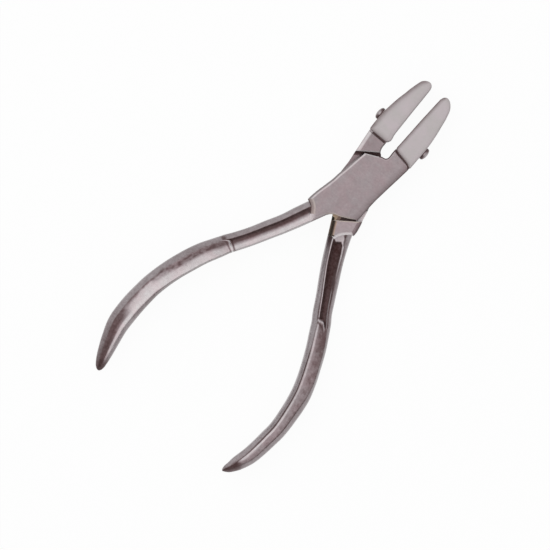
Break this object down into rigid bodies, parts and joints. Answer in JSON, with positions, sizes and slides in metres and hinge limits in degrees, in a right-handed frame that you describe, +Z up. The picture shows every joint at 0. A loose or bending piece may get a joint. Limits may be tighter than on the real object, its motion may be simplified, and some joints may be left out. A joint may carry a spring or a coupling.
{
  "type": "optical pliers",
  "caption": "Slim box-joint optical pliers with curved, fluted steel handles and grey nylon jaw pads, each pad held to its steel jaw by a small domed screw.",
  "frame": {"origin": "on the pivot's axis, on the flat lower face that the tool rests on", "axes": "+Y from the pivot towards the jaw tips, +X across the tool, +Z up along the pivot's axis"},
  "size_m": [0.0694, 0.1419, 0.009],
  "materials": {
    "polished_steel": "satin, hand polished",
    "rivet_steel": "satin, ground flush",
    "screw_steel": "bright",
    "grey_nylon": "satin"
  },
  "bodies": {
    "box_lever": {"box_lever": "polished_steel", "pivot_rivet": "rivet_steel", "right_jaw_pad": "grey_nylon", "right_pad_screw": "screw_steel"},
    "tongue_lever": {"tongue_lever": "polished_steel", "left_jaw_pad": "grey_nylon", "left_pad_screw": "screw_steel"}
  },
  "joints": [
    {"name": "jaw_pivot", "type": "hinge", "parent": "box_lever", "child": "tongue_lever", "pos_m": [0, 0, 0.0045], "axis": [0, 0, 1], "range_deg": [-6, 24]}
  ]
}
